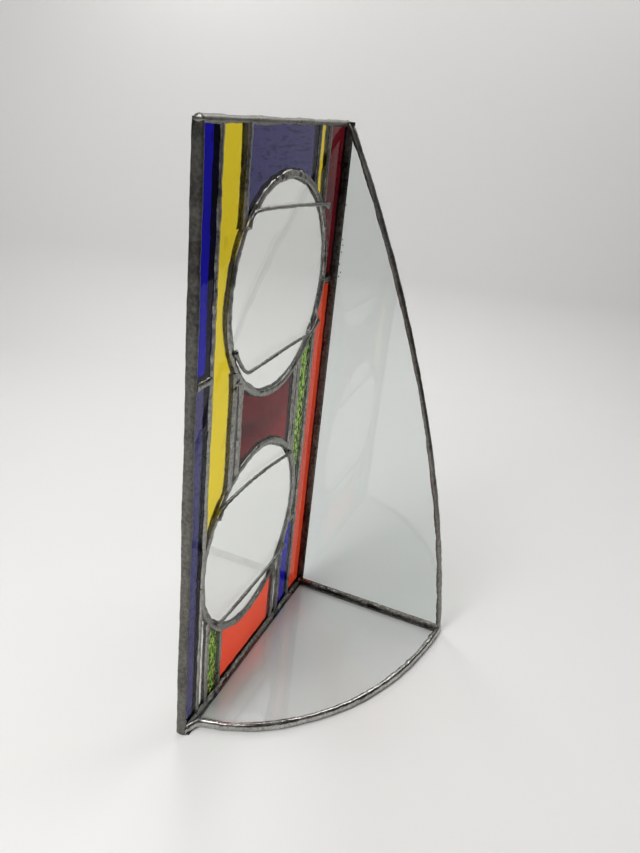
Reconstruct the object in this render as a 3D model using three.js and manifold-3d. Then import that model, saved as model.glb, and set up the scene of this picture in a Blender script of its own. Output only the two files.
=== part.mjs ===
// A standing corner panel in copper-foil stained glass.
// A rectangular panel of coloured glass strips frames two round clear discs. A clear wing stands
// square to its right edge and a clear base plate lies square to its bottom edge, so the three
// plates make an open corner. Every glass edge is wrapped in foil and soldered, so the glass pieces
// sit in solder bars, rings and edge beads, and two wires are soldered across each disc.
//
// Millimetres. X runs along the panel to the right, Y runs back, Z is up. The panel's front face is
// y = 0 before the whole object is centred on the surface it stands on.
import * as THREE from 'three';
import { mergeVertices } from 'three/addons/utils/BufferGeometryUtils.js';
import Module from 'manifold-3d';

const wasm = await Module();
wasm.setup();

// ---- Driving dimensions ----
const PANEL_WIDTH = 153;
const PANEL_HEIGHT = 305;
const DEPTH = 104.5; // how far the wing and the base reach forward of the panel's front face
const GLASS = 3; // thickness of every glass piece
const GAP = 0.3; // clearance between touching pieces
const SOLDER = 0.9; // solder standing on a glass face
const FOIL_WALL = 0.8; // foil and solder between two glass edges
const EDGE_WALL = 0.8; // foil and solder outside an outer glass edge
const EDGE_LAP = 3.3; // how far an edge bead reaches in from the outside
const CORNER_LAP = 3.8; // how far a corner joint reaches along the wing and the base
const JOINT_RISE = 8.3; // height of the bottom corner joint on the panel
const SEAM_WIDTH = 4; // width of a solder bar's face
const RING_WIDTH = 4.2;
const RING_RADIUS = 54; // centreline of the solder ring round each disc
const UPPER_DISC = { x: 82, z: 227 };
const LOWER_DISC = { x: 68.2, z: 89.5 };
const ROUND_STEPS = 64;
const CROWN_REACH = 0.6; // share of a bead's half width where its crown starts to fall
const CROWN_DROP = 0.2; // share of the solder's height that the crown has lost there
const EDGE_CROWN = 0.7; // share of an edge bead's lap where its crown starts to fall
const WIRE_RADIUS = 0.8;

// ---- Sizes that follow ----
const SEAT = GAP + SOLDER; // from a glass face to the outside of the solder on it
const CELL_EDGE = FOIL_WALL / 2 + GAP; // from a seam's centreline to the glass beside it
const GLASS_EDGE = EDGE_WALL + GAP; // from an outer edge to the glass inside it
const FRONT = -SEAT;
const BACK = GLASS + SEAT;
const WING_INNER = PANEL_WIDTH - SEAT - GLASS;
const WING_OUTER = PANEL_WIDTH - SEAT;
const BASE_UNDER = SEAT;
const BASE_UPPER = SEAT + GLASS;
const BASE_BEAD_TOP = BASE_UPPER + SEAT;
const PLATE_REAR = FRONT - GAP; // rear edge of the wing and base glass
const BASE_RIGHT = WING_INNER - 2 * GAP - SOLDER; // right edge of the base glass
const CORNER_SIDE = WING_INNER - 2; // near side of the right corner joint on the panel
const BAR_TOP = PANEL_HEIGHT - EDGE_LAP - GAP;
const BAR_BOTTOM = JOINT_RISE + GAP;
const BAR_RIGHT = CORNER_SIDE - GAP;

// ---- Seam centrelines on the panel: each is a straight line from its top to its bottom ----
const seam = (xTop, xBottom) => ({ xTop, xBottom });
const xOn = (line, z) => line.xBottom + ((line.xTop - line.xBottom) * z) / PANEL_HEIGHT;
const LINE_LEFT = seam(15.3, 13.5);
const LINE_YELLOW = seam(37.6, 36.8);
const LINE_MAROON_LEFT = seam(43.8, 43.8);
const LINE_MAROON_RIGHT = seam(107.8, 107.8);
const LINE_YELLOW_TOP = seam(112.2, 111.6);
const LINE_GREEN = seam(113.2, 113.2);
const LINE_RED = seam(125.4, 125.4);
const LINE_ORANGE = seam(131, 128.8);
const LINE_GREEN_LOWER = seam(22.4, 21.6);
const LINE_ORANGE_LOWER = seam(36.6, 36.2);
const LINE_SLIVER_LOWER = seam(103, 103);
const LINE_BLUE_LOWER = seam(112, 111.6);
const PANEL_LEFT = seam(0, 0);
const PANEL_RIGHT = seam(PANEL_WIDTH, PANEL_WIDTH);
const BLUE_JOIN_Z = 199;
const RED_JOIN_Z = 220.5;
const GREEN_JOIN_Z = 69.5;

// ---- Finishes ----
const paint = (color, roughness, metalness, opacity) =>
  new THREE.MeshStandardMaterial({ color, roughness, metalness, opacity, transparent: opacity < 1 });
const SOLDER_FINISH = paint(0x8a8680, 0.42, 0.9, 1);
const WIRE_FINISH = paint(0x7d7b74, 0.35, 0.95, 1);
const CLEAR = paint(0xdfe7e4, 0.03, 0, 0.2);
const DEEP_BLUE = paint(0x1d1b92, 0.05, 0, 0.9);
const VIOLET = paint(0x4b4769, 0.06, 0, 0.85);
const YELLOW = paint(0xd2b92a, 0.05, 0, 0.85);
const DARK_RED = paint(0x5c1a22, 0.05, 0, 0.9);
const ORANGE = paint(0xd0452a, 0.05, 0, 0.85);
const MAROON = paint(0x6b2f35, 0.06, 0, 0.9);
const GREEN = paint(0x7fa237, 0.12, 0, 0.85);

// ---- Planes that outlines are drawn in: u x v always points along a negative axis, so a plate's
// low and high levels are plain coordinates on that axis ----
const X = new THREE.Vector3(1, 0, 0);
const Y = new THREE.Vector3(0, 1, 0);
const Z = new THREE.Vector3(0, 0, 1);
const FORWARD = new THREE.Vector3(0, -1, 0);
const PANEL = { u: X, v: Z }; // levels along Y
const WING = { u: FORWARD, v: Z }; // levels along X
const BASE = { u: X, v: FORWARD }; // levels along Z
const SECTION_UP = { u: Y, v: X }; // levels along Z
const SECTION_ALONG = { u: Z, v: Y }; // levels along X

function basisOf(plane) {
  const normal = new THREE.Vector3().crossVectors(plane.u, plane.v);
  return { normal, matrix: new THREE.Matrix4().makeBasis(plane.u, plane.v, normal) };
}

// A plate of the given outline between two levels across the plane.
function plate(plane, shape, low, high, curveSegments = 12) {
  const { normal, matrix } = basisOf(plane);
  const geometry = new THREE.ExtrudeGeometry(shape, {
    depth: high - low,
    bevelEnabled: false,
    curveSegments,
  });
  geometry.applyMatrix4(matrix);
  return geometry.translate(-normal.x * high, -normal.y * high, -normal.z * high);
}

// ---- Booleans ----
function toSolid(geometry) {
  const bare = geometry.clone();
  bare.deleteAttribute('normal');
  bare.deleteAttribute('uv');
  const merged = mergeVertices(bare, 1e-4);
  const vertProperties = new Float32Array(merged.attributes.position.array);
  const triVerts = new Uint32Array(merged.index.array);
  return new wasm.Manifold(new wasm.Mesh({ numProp: 3, vertProperties, triVerts }));
}

function toGeometry(solid) {
  const { vertProperties, triVerts, numProp } = solid.getMesh();
  const position = new Float32Array((vertProperties.length / numProp) * 3);
  for (let i = 0; i < position.length / 3; i += 1) {
    for (let k = 0; k < 3; k += 1) position[3 * i + k] = vertProperties[numProp * i + k];
  }
  const geometry = new THREE.BufferGeometry();
  geometry.setAttribute('position', new THREE.BufferAttribute(position, 3));
  geometry.setIndex(new THREE.BufferAttribute(new Uint32Array(triVerts), 1));
  geometry.computeVertexNormals();
  return geometry;
}

const cut = (geometry, ...tools) =>
  toGeometry(tools.reduce((solid, tool) => solid.subtract(toSolid(tool)), toSolid(geometry)));
const join = (...pieces) =>
  toGeometry(pieces.map(toSolid).reduce((whole, piece) => whole.add(piece)));
const common = (a, b) => toGeometry(toSolid(a).intersect(toSolid(b)));

const box = (x0, x1, y0, y1, z0, z1) =>
  new THREE.BoxGeometry(x1 - x0, y1 - y0, z1 - z0).translate(
    (x0 + x1) / 2,
    (y0 + y1) / 2,
    (z0 + z1) / 2,
  );

function discCylinder(centre, radius, front, back) {
  const geometry = new THREE.CylinderGeometry(radius, radius, back - front, ROUND_STEPS);
  return geometry.translate(centre.x, (front + back) / 2, centre.z);
}

const clearOfGlassRing = (centre) =>
  discCylinder(centre, RING_RADIUS + CELL_EDGE, FRONT - 1, BACK + 1);
const clearOfRing = (centre) =>
  discCylinder(centre, RING_RADIUS + RING_WIDTH / 2 + GAP, FRONT - 1, BACK + 1);

// ---- The object: one group that every mesh joins ----
const kit = new THREE.Group();
kit.position.set(-PANEL_WIDTH / 2, (DEPTH - BACK) / 2, 0);

function add(name, geometry, material) {
  const mesh = new THREE.Mesh(geometry, material);
  mesh.name = name;
  kit.add(mesh);
}

// ---- Coloured glass cells: four-sided pieces between two seams, bitten by the disc rings ----
function panelGlass(name, material, left, right, bottom, top, discs) {
  const leftInset = left === PANEL_LEFT ? GLASS_EDGE : CELL_EDGE;
  const rightInset = right === PANEL_RIGHT ? GLASS_EDGE : CELL_EDGE;
  const low = bottom + (bottom === 0 ? GLASS_EDGE : CELL_EDGE);
  const high = top - (top === PANEL_HEIGHT ? GLASS_EDGE : CELL_EDGE);
  const shape = new THREE.Shape([
    new THREE.Vector2(xOn(left, low) + leftInset, low),
    new THREE.Vector2(xOn(right, low) - rightInset, low),
    new THREE.Vector2(xOn(right, high) - rightInset, high),
    new THREE.Vector2(xOn(left, high) + leftInset, high),
  ]);
  add(name, cut(plate(PANEL, shape, 0, GLASS), ...discs.map(clearOfGlassRing)), material);
}

const TOP = PANEL_HEIGHT;
const MIDDLE_HIGH = UPPER_DISC.z - 8; // a cell's straight end, hidden inside the upper disc
const MIDDLE_LOW = LOWER_DISC.z + 8;
const BOTH = [UPPER_DISC, LOWER_DISC];
panelGlass('glass_deep_blue', DEEP_BLUE, PANEL_LEFT, LINE_LEFT, BLUE_JOIN_Z, TOP, []);
panelGlass('glass_violet_left', VIOLET, PANEL_LEFT, LINE_LEFT, 0, BLUE_JOIN_Z, [LOWER_DISC]);
panelGlass('glass_yellow_long', YELLOW, LINE_LEFT, LINE_YELLOW, MIDDLE_LOW, TOP, BOTH);
panelGlass('glass_violet_top', VIOLET, LINE_YELLOW, LINE_YELLOW_TOP, UPPER_DISC.z, TOP, [UPPER_DISC]);
panelGlass('glass_yellow_top', YELLOW, LINE_YELLOW_TOP, LINE_RED, UPPER_DISC.z, TOP, [UPPER_DISC]);
panelGlass('glass_dark_red', DARK_RED, LINE_RED, PANEL_RIGHT, RED_JOIN_Z, TOP, [UPPER_DISC]);
panelGlass('glass_orange_right', ORANGE, LINE_ORANGE, PANEL_RIGHT, 0, RED_JOIN_Z, [UPPER_DISC]);
panelGlass('glass_sliver_centre', CLEAR, LINE_YELLOW, LINE_MAROON_LEFT, MIDDLE_LOW, MIDDLE_HIGH, BOTH);
panelGlass('glass_maroon', MAROON, LINE_MAROON_LEFT, LINE_MAROON_RIGHT, MIDDLE_LOW, MIDDLE_HIGH, BOTH);
panelGlass('glass_sliver_right', CLEAR, LINE_MAROON_RIGHT, LINE_GREEN, MIDDLE_LOW, MIDDLE_HIGH, BOTH);
panelGlass('glass_green_right', GREEN, LINE_GREEN, LINE_ORANGE, GREEN_JOIN_Z, MIDDLE_HIGH, BOTH);
panelGlass('glass_blue_lower', DEEP_BLUE, LINE_BLUE_LOWER, LINE_ORANGE, 0, GREEN_JOIN_Z, [LOWER_DISC]);
panelGlass('glass_sliver_lower', CLEAR, LINE_SLIVER_LOWER, LINE_BLUE_LOWER, 0, LOWER_DISC.z, [LOWER_DISC]);
panelGlass(
  'glass_orange_lower', ORANGE, LINE_ORANGE_LOWER, LINE_SLIVER_LOWER, 0, LOWER_DISC.z, [LOWER_DISC],
);
panelGlass('glass_green_lower', GREEN, LINE_GREEN_LOWER, LINE_ORANGE_LOWER, 0, LOWER_DISC.z, [LOWER_DISC]);
panelGlass('glass_sliver_left', CLEAR, LINE_LEFT, LINE_GREEN_LOWER, 0, LOWER_DISC.z, [LOWER_DISC]);

// ---- Round clear discs, each in a solder ring whose section is an I ----
const discRadius = RING_RADIUS - CELL_EDGE;
add('disc_upper', discCylinder(UPPER_DISC, discRadius, 0, GLASS), CLEAR);
add('disc_lower', discCylinder(LOWER_DISC, discRadius, 0, GLASS), CLEAR);

// Half of an I section, from the back face's middle to the front face's middle: a crowned bead on
// each face and a thin wall between. Side is +1 or -1 and the section is centred on s = 0.
function sectionSide(width, side) {
  const half = (side * width) / 2;
  const wall = (side * FOIL_WALL) / 2;
  return [
    [0, BACK],
    [half * CROWN_REACH, BACK - SOLDER * CROWN_DROP],
    [half, GLASS + GAP],
    [wall, GLASS + GAP],
    [wall, -GAP],
    [half, -GAP],
    [half * CROWN_REACH, FRONT + SOLDER * CROWN_DROP],
    [0, FRONT],
  ];
}

function iSection(width) {
  const right = sectionSide(width, 1);
  const left = sectionSide(width, -1).slice(1, -1);
  return [...right, ...left.reverse()].map(([s, y]) => new THREE.Vector2(s, y));
}

function solderRing(centre) {
  const section = iSection(RING_WIDTH).map((p) => new THREE.Vector2(p.x + RING_RADIUS, p.y));
  const closed = [...section, section[0].clone()].reverse();
  return new THREE.LatheGeometry(closed, ROUND_STEPS).translate(centre.x, 0, centre.z);
}

add('solder_ring_upper', solderRing(UPPER_DISC), SOLDER_FINISH);
add('solder_ring_lower', solderRing(LOWER_DISC), SOLDER_FINISH);

// ---- Straight solder bars between the glass pieces ----
function solderBar(x0, z0, x1, z1, width = SEAM_WIDTH) {
  const along = new THREE.Vector3(x1 - x0, 0, z1 - z0);
  const length = along.length();
  const direction = along.clone().normalize();
  const across = new THREE.Vector3().crossVectors(Y, direction);
  const geometry = new THREE.ExtrudeGeometry(new THREE.Shape(iSection(width)), {
    depth: length,
    bevelEnabled: false,
  });
  geometry.applyMatrix4(new THREE.Matrix4().makeBasis(across, Y, direction));
  return geometry.translate(x0, 0, z0);
}

function uprightBar(name, line, bottom, top, discs) {
  const bar = solderBar(xOn(line, bottom), bottom, xOn(line, top), top);
  add(name, cut(bar, ...discs.map(clearOfRing)), SOLDER_FINISH);
}

const ringBite = RING_RADIUS * 0.27; // how far from the disc's level the tangent bar stops
const crossBarLap = SEAM_WIDTH / 2 + GAP;
uprightBar('solder_left_upper', LINE_LEFT, LOWER_DISC.z + ringBite, BAR_TOP, [LOWER_DISC]);
uprightBar('solder_left_lower', LINE_LEFT, BAR_BOTTOM, LOWER_DISC.z - ringBite, [LOWER_DISC]);
uprightBar('solder_yellow_upper', LINE_YELLOW, MIDDLE_HIGH, BAR_TOP, [UPPER_DISC]);
uprightBar('solder_yellow_lower', LINE_YELLOW, MIDDLE_LOW, MIDDLE_HIGH, BOTH);
uprightBar('solder_maroon_left', LINE_MAROON_LEFT, MIDDLE_LOW, MIDDLE_HIGH, BOTH);
uprightBar('solder_maroon_right', LINE_MAROON_RIGHT, MIDDLE_LOW, MIDDLE_HIGH, BOTH);
uprightBar('solder_yellow_top', LINE_YELLOW_TOP, UPPER_DISC.z, BAR_TOP, [UPPER_DISC]);
uprightBar('solder_red_left', LINE_RED, UPPER_DISC.z, BAR_TOP, [UPPER_DISC]);
uprightBar('solder_green_left', LINE_GREEN, MIDDLE_LOW, MIDDLE_HIGH, BOTH);
uprightBar('solder_orange_left', LINE_ORANGE, BAR_BOTTOM, MIDDLE_HIGH, BOTH);
uprightBar('solder_blue_lower', LINE_BLUE_LOWER, BAR_BOTTOM, LOWER_DISC.z, [LOWER_DISC]);
uprightBar('solder_orange_lower', LINE_SLIVER_LOWER, BAR_BOTTOM, LOWER_DISC.z, [LOWER_DISC]);
uprightBar('solder_green_lower', LINE_ORANGE_LOWER, BAR_BOTTOM, LOWER_DISC.z, [LOWER_DISC]);
uprightBar('solder_sliver_lower', LINE_GREEN_LOWER, BAR_BOTTOM, LOWER_DISC.z, [LOWER_DISC]);

function crossBar(name, left, right, z, discs) {
  add(name, cut(solderBar(left, z, right, z), ...discs.map(clearOfRing)), SOLDER_FINISH);
}

const blueJoinRight = xOn(LINE_LEFT, BLUE_JOIN_Z) - crossBarLap;
const greenJoinRight = xOn(LINE_ORANGE, GREEN_JOIN_Z) - crossBarLap;
crossBar('solder_blue_join', EDGE_LAP + GAP, blueJoinRight, BLUE_JOIN_Z, []);
crossBar('solder_red_join', UPPER_DISC.x, BAR_RIGHT, RED_JOIN_Z, [UPPER_DISC]);
crossBar('solder_green_join', LOWER_DISC.x, greenJoinRight, GREEN_JOIN_Z, [LOWER_DISC]);

// ---- Edge beads along the panel's left and top edges: a U section round the glass ----
const uSection = () =>
  new THREE.Shape([
    new THREE.Vector2(SOLDER * EDGE_CROWN, FRONT),
    new THREE.Vector2(EDGE_LAP * EDGE_CROWN, FRONT),
    new THREE.Vector2(EDGE_LAP, -GAP),
    new THREE.Vector2(EDGE_WALL, -GAP),
    new THREE.Vector2(EDGE_WALL, GLASS + GAP),
    new THREE.Vector2(EDGE_LAP, GLASS + GAP),
    new THREE.Vector2(EDGE_LAP * EDGE_CROWN, BACK),
    new THREE.Vector2(SOLDER * EDGE_CROWN, BACK),
    new THREE.Vector2(0, BACK - SOLDER),
    new THREE.Vector2(0, FRONT + SOLDER),
  ]);

function edgeBead(length) {
  return new THREE.ExtrudeGeometry(uSection(), { depth: length, bevelEnabled: false });
}

add('solder_edge_left', edgeBead(BAR_TOP), SOLDER_FINISH);

const topAxes = new THREE.Matrix4().makeBasis(Z.clone().negate(), Y, X);
const topEdge = edgeBead(PANEL_WIDTH).applyMatrix4(topAxes).translate(0, 0, PANEL_HEIGHT);
add('solder_edge_top', topEdge, SOLDER_FINISH);

// ---- Wing and base outlines ----
// The wing's front edge bows from the panel's top corner to the base's outer corner, and the base's
// outer edge from the panel's near corner. Both curves are the outside of the solder on that edge.
const wingCurve = new THREE.CubicBezierCurve(
  new THREE.Vector2(2, PANEL_HEIGHT),
  new THREE.Vector2(0.45 * DEPTH, 0.735 * PANEL_HEIGHT),
  new THREE.Vector2(0.87 * DEPTH, 0.37 * PANEL_HEIGHT),
  new THREE.Vector2(DEPTH, 0),
);
const baseCurve = new THREE.CubicBezierCurve(
  new THREE.Vector2(6.5, 0),
  new THREE.Vector2(0.105 * PANEL_WIDTH, 0.445 * DEPTH),
  new THREE.Vector2(0.4 * PANEL_WIDTH, 0.905 * DEPTH),
  new THREE.Vector2(PANEL_WIDTH, DEPTH),
);
const CURVE_STEPS = 24;
const BEYOND = 8; // how far an outline runs past the sides that trim it

// A curve's points, each moved square to the curve towards its right-hand side.
function insetPoints(curve, inset) {
  return Array.from({ length: CURVE_STEPS + 1 }, (_, i) => {
    const point = curve.getPoint(i / CURVE_STEPS);
    const tangent = curve.getTangent(i / CURVE_STEPS);
    return new THREE.Vector2(point.x + tangent.y * inset, point.y - tangent.x * inset);
  });
}

function wingShape(inset) {
  const edge = insetPoints(wingCurve, inset);
  const top = edge[0];
  const foot = edge[CURVE_STEPS];
  return new THREE.Shape([
    new THREE.Vector2(-BEYOND, top.y),
    new THREE.Vector2(-BEYOND, -BEYOND),
    new THREE.Vector2(foot.x, -BEYOND),
    ...edge.reverse(),
  ]);
}

function baseShape(inset) {
  const edge = insetPoints(baseCurve, inset);
  const heel = edge[0];
  const toe = edge[CURVE_STEPS];
  return new THREE.Shape([
    new THREE.Vector2(heel.x, -BEYOND),
    new THREE.Vector2(PANEL_WIDTH + BEYOND, -BEYOND),
    new THREE.Vector2(PANEL_WIDTH + BEYOND, toe.y),
    ...edge.reverse(),
  ]);
}

const FAR = 2 * PANEL_HEIGHT;
const behind = (y) => box(-FAR, FAR, y, FAR, -FAR, FAR);
const below = (z) => box(-FAR, FAR, -FAR, FAR, -FAR, z);
const rightOf = (x) => box(x, FAR, -FAR, FAR, -FAR, FAR);

// ---- Wing and base glass ----
const wingGlass = plate(WING, wingShape(GLASS_EDGE), WING_INNER, WING_OUTER);
const baseGlass = plate(BASE, baseShape(GLASS_EDGE), BASE_UNDER, BASE_UPPER);
add('glass_wing', cut(wingGlass, behind(PLATE_REAR), below(GLASS_EDGE)), CLEAR);
add('glass_base', cut(baseGlass, behind(PLATE_REAR), rightOf(BASE_RIGHT)), CLEAR);

// ---- Edge beads along the two bowed edges: a solder channel round the glass ----
const wingSlot = plate(WING, wingShape(EDGE_WALL), WING_INNER - GAP, WING_OUTER + GAP);
const baseSlot = cut(
  plate(BASE, baseShape(EDGE_WALL), BASE_UNDER - GAP, BASE_UPPER + GAP),
  rightOf(BASE_RIGHT + GAP),
);
const wingChannel = cut(
  plate(WING, wingShape(0), WING_INNER - SEAT, PANEL_WIDTH),
  plate(WING, wingShape(EDGE_LAP), 0, FAR),
  wingSlot,
  behind(PLATE_REAR),
  below(BASE_BEAD_TOP + GAP),
);
const baseChannel = cut(
  plate(BASE, baseShape(0), 0, BASE_BEAD_TOP),
  plate(BASE, baseShape(EDGE_LAP), -FAR, FAR),
  baseSlot,
  cut(wingSlot, below(EDGE_WALL)),
  behind(-CORNER_LAP - GAP),
  rightOf(PANEL_WIDTH),
);
add('solder_edge_wing', wingChannel, SOLDER_FINISH);
add('solder_edge_base', baseChannel, SOLDER_FINISH);

// ---- Corner joints: solder fillets with a slot for each of the two plates that meet ----
// Panel to wing. Its section is drawn in (y, x).
function wingJointSection() {
  const shape = new THREE.Shape();
  shape.moveTo(BACK, CORNER_SIDE);
  shape.lineTo(BACK, PANEL_WIDTH - SOLDER);
  shape.lineTo(BACK - SOLDER, PANEL_WIDTH);
  shape.lineTo(-CORNER_LAP, PANEL_WIDTH);
  shape.lineTo(-CORNER_LAP, WING_OUTER + GAP);
  shape.lineTo(FRONT, WING_OUTER + GAP);
  shape.lineTo(FRONT, WING_INNER - GAP);
  shape.lineTo(-CORNER_LAP, WING_INNER - GAP);
  shape.lineTo(-CORNER_LAP, WING_INNER - SEAT);
  shape.quadraticCurveTo(FRONT - SOLDER / 2, CORNER_SIDE + SOLDER / 2, FRONT, CORNER_SIDE);
  shape.lineTo(-GAP, CORNER_SIDE);
  shape.lineTo(-GAP, PANEL_WIDTH - EDGE_WALL);
  shape.lineTo(GLASS + GAP, PANEL_WIDTH - EDGE_WALL);
  shape.lineTo(GLASS + GAP, CORNER_SIDE);
  return shape;
}

// Panel to base. Its section is drawn in (z, y).
function baseJointSection() {
  const shape = new THREE.Shape();
  shape.moveTo(0, BACK);
  shape.lineTo(0, -CORNER_LAP);
  shape.lineTo(BASE_UNDER - GAP, -CORNER_LAP);
  shape.lineTo(BASE_UNDER - GAP, FRONT);
  shape.lineTo(BASE_UPPER + GAP, FRONT);
  shape.lineTo(BASE_UPPER + GAP, -CORNER_LAP);
  shape.lineTo(BASE_BEAD_TOP, -CORNER_LAP);
  shape.quadraticCurveTo(BASE_BEAD_TOP + SOLDER / 2, FRONT - SOLDER / 2, JOINT_RISE, FRONT);
  shape.lineTo(JOINT_RISE, -GAP);
  shape.lineTo(EDGE_WALL, -GAP);
  shape.lineTo(EDGE_WALL, GLASS + GAP);
  shape.lineTo(JOINT_RISE, GLASS + GAP);
  shape.lineTo(JOINT_RISE, BACK - SOLDER / 2);
  shape.lineTo(JOINT_RISE - SOLDER / 2, BACK);
  return shape;
}

// Wing to base. Its section is drawn in (x, z).
function footJointSection() {
  const near = BASE_RIGHT - 2;
  const rise = BASE_BEAD_TOP + 1.5;
  const shape = new THREE.Shape();
  shape.moveTo(near, 0);
  shape.lineTo(PANEL_WIDTH, 0);
  shape.lineTo(PANEL_WIDTH, EDGE_LAP);
  shape.lineTo(WING_OUTER + GAP, EDGE_LAP);
  shape.lineTo(WING_OUTER + GAP, EDGE_WALL);
  shape.lineTo(WING_INNER - GAP, EDGE_WALL);
  shape.lineTo(WING_INNER - GAP, rise);
  shape.lineTo(WING_INNER - SEAT, rise);
  shape.quadraticCurveTo(WING_INNER - 1.5 * SEAT, BASE_BEAD_TOP, near, BASE_BEAD_TOP);
  shape.lineTo(near, BASE_UPPER + GAP);
  shape.lineTo(BASE_RIGHT + GAP, BASE_UPPER + GAP);
  shape.lineTo(BASE_RIGHT + GAP, BASE_UNDER - GAP);
  shape.lineTo(near, BASE_UNDER - GAP);
  return shape;
}

const insideWingEdge = plate(WING, wingShape(EDGE_LAP + GAP), 0, FAR);
const insideBaseEdge = plate(BASE, baseShape(EDGE_LAP + GAP), -FAR, FAR);
const JOINT_STEPS = 4;
const overBase = box(0, BASE_RIGHT + GAP, -DEPTH, FRONT + SOLDER, -1, BASE_BEAD_TOP + GAP);
const wingJoint = plate(SECTION_UP, wingJointSection(), 0, BAR_TOP, JOINT_STEPS);
add('solder_corner_wing', cut(common(wingJoint, insideWingEdge), overBase), SOLDER_FINISH);

const baseJointStart = EDGE_LAP + GAP;
const baseJoint = plate(SECTION_ALONG, baseJointSection(), baseJointStart, BAR_RIGHT, JOINT_STEPS);
add('solder_corner_base', baseJoint, SOLDER_FINISH);

const footJoint = plate(PANEL, footJointSection(), -DEPTH, -CORNER_LAP - GAP, JOINT_STEPS);
add('solder_corner_foot', common(footJoint, insideBaseEdge), SOLDER_FINISH);

// ---- Retaining wires: one wire near the top and one near the bottom of each disc, lying in front
// of the ring, with a flattened blob of solder where each end is fixed ----
const WIRE_Y = FRONT - GAP - WIRE_RADIUS;
const WIRE_SIDES = 10;
const WIRE_STEPS = 40;

function wireTube(points) {
  const ring = Array.from({ length: WIRE_SIDES }, (_, i) => {
    const turn = (2 * Math.PI * i) / WIRE_SIDES;
    return new THREE.Vector2(WIRE_RADIUS * Math.cos(turn), WIRE_RADIUS * Math.sin(turn));
  });
  const route = points.map(([x, z]) => new THREE.Vector3(x, WIRE_Y, z));
  return new THREE.ExtrudeGeometry(new THREE.Shape(ring), {
    steps: WIRE_STEPS,
    bevelEnabled: false,
    extrudePath: new THREE.CatmullRomCurve3(route, false, 'centripetal'),
  });
}

function solderBlob([x, z], length, width) {
  const blob = new THREE.SphereGeometry(1, 14, 8);
  return blob.scale(width / 2, WIRE_RADIUS, length / 2).translate(x, WIRE_Y, z);
}

function discWire(name, points, startBlob, endBlob) {
  const start = solderBlob(points[0], ...startBlob);
  const end = solderBlob(points[points.length - 1], ...endBlob);
  add(name, join(wireTube(points), start, end), WIRE_FINISH);
}

const upperTopWire = [
  [41, 259.5], [43.2, 263.5], [46.8, 266.8], [54, 267.4], [90, 266], [124, 263.6], [130, 262.2],
];
const upperLowWire = [
  [33.8, 208], [39.5, 201.5], [44.6, 196.1], [49, 193.5],
  [60, 193.8], [90, 194], [120, 193.4], [131.5, 199.5],
];
const lowerTopWire = [
  [26, 120.8], [30.5, 124.3], [36, 126.3], [56, 127.3], [80, 126.3], [102, 124], [109, 123.5],
];
const lowerLowWire = [
  [28.6, 54.5], [34, 53.1], [60, 52.6], [92, 53], [106, 54], [112, 58],
];
// Each blob is given as its length along the height and its width.
discWire('wire_upper_top', upperTopWire, [4.6, 3.6], [3, 4]);
discWire('wire_upper_bottom', upperLowWire, [4, 3], [9, 4.6]);
discWire('wire_lower_top', lowerTopWire, [4.4, 4.4], [3, 3.4]);
discWire('wire_lower_bottom', lowerLowWire, [3, 4], [7, 5]);

export default kit;
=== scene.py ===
"""A standing corner panel in copper-foil stained glass, on a pale studio sweep.

A panel of coloured glass strips frames two round clear windows. A clear wing and a clear base stand
square to it. Solder covers every glass edge, and bent wires cross the windows.
Pieces are measured in millimetres, in the row frame, until a mesh is made. Lamps and camera are
placed in metres, as Blender takes them.
"""
import math

import bmesh
import bpy
import numpy as np
from mathutils import Matrix, Vector


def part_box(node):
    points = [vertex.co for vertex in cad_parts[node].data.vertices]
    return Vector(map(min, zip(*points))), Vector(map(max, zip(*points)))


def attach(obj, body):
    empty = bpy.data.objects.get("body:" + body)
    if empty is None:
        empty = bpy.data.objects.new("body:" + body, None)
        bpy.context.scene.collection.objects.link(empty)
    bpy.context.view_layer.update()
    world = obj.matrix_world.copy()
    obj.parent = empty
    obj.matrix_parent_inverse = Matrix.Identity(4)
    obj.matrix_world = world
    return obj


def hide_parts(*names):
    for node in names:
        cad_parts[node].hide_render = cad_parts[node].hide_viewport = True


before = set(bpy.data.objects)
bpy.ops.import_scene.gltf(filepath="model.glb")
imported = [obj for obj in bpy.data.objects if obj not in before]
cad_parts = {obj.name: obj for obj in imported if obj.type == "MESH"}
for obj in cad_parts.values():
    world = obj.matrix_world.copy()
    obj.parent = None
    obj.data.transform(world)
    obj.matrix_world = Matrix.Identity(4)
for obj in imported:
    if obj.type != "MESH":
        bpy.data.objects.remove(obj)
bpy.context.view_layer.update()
scene = bpy.context.scene
scene.view_settings.view_transform = "Standard"

# ---- The paper sweep -------------------------------------------------------------------------
# A sheet of matt white paper lies under the object, curves up behind it and stands as a wall. It
# ends not far to the right, so the panel's glass mirrors the dark room there and keeps its colour.
MM = 0.001


def colour(hexed):
    """An sRGB hex colour as linear RGBA."""
    parts = [int(hexed[i : i + 2], 16) / 255 for i in (1, 3, 5)]
    linear = [c / 12.92 if c <= 0.04045 else ((c + 0.055) / 1.055) ** 2.4 for c in parts]
    return (*linear, 1.0)


def new_material(name):
    """An empty node material and its output node."""
    material = bpy.data.materials.new(name)
    material.use_nodes = True
    material.node_tree.nodes.clear()
    return material, add(material, "ShaderNodeOutputMaterial")


def add(material, kind, sockets=None, stops=(), **settings):
    """Adds a node. sockets maps an input's name or number to a value or to the output that feeds it,
    and stops are the (position, colour) pairs of a colour ramp."""
    tree = material.node_tree
    node = tree.nodes.new(kind)
    for key, value in settings.items():
        setattr(node, key, value)
    for number, (position, tone) in enumerate(stops):
        node.color_ramp.elements[number].position = position
        node.color_ramp.elements[number].color = tone
    for key, value in (sockets or {}).items():
        if isinstance(value, bpy.types.NodeSocket):
            tree.links.new(value, node.inputs[key])
        else:
            node.inputs[key].default_value = value
    return node


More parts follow.
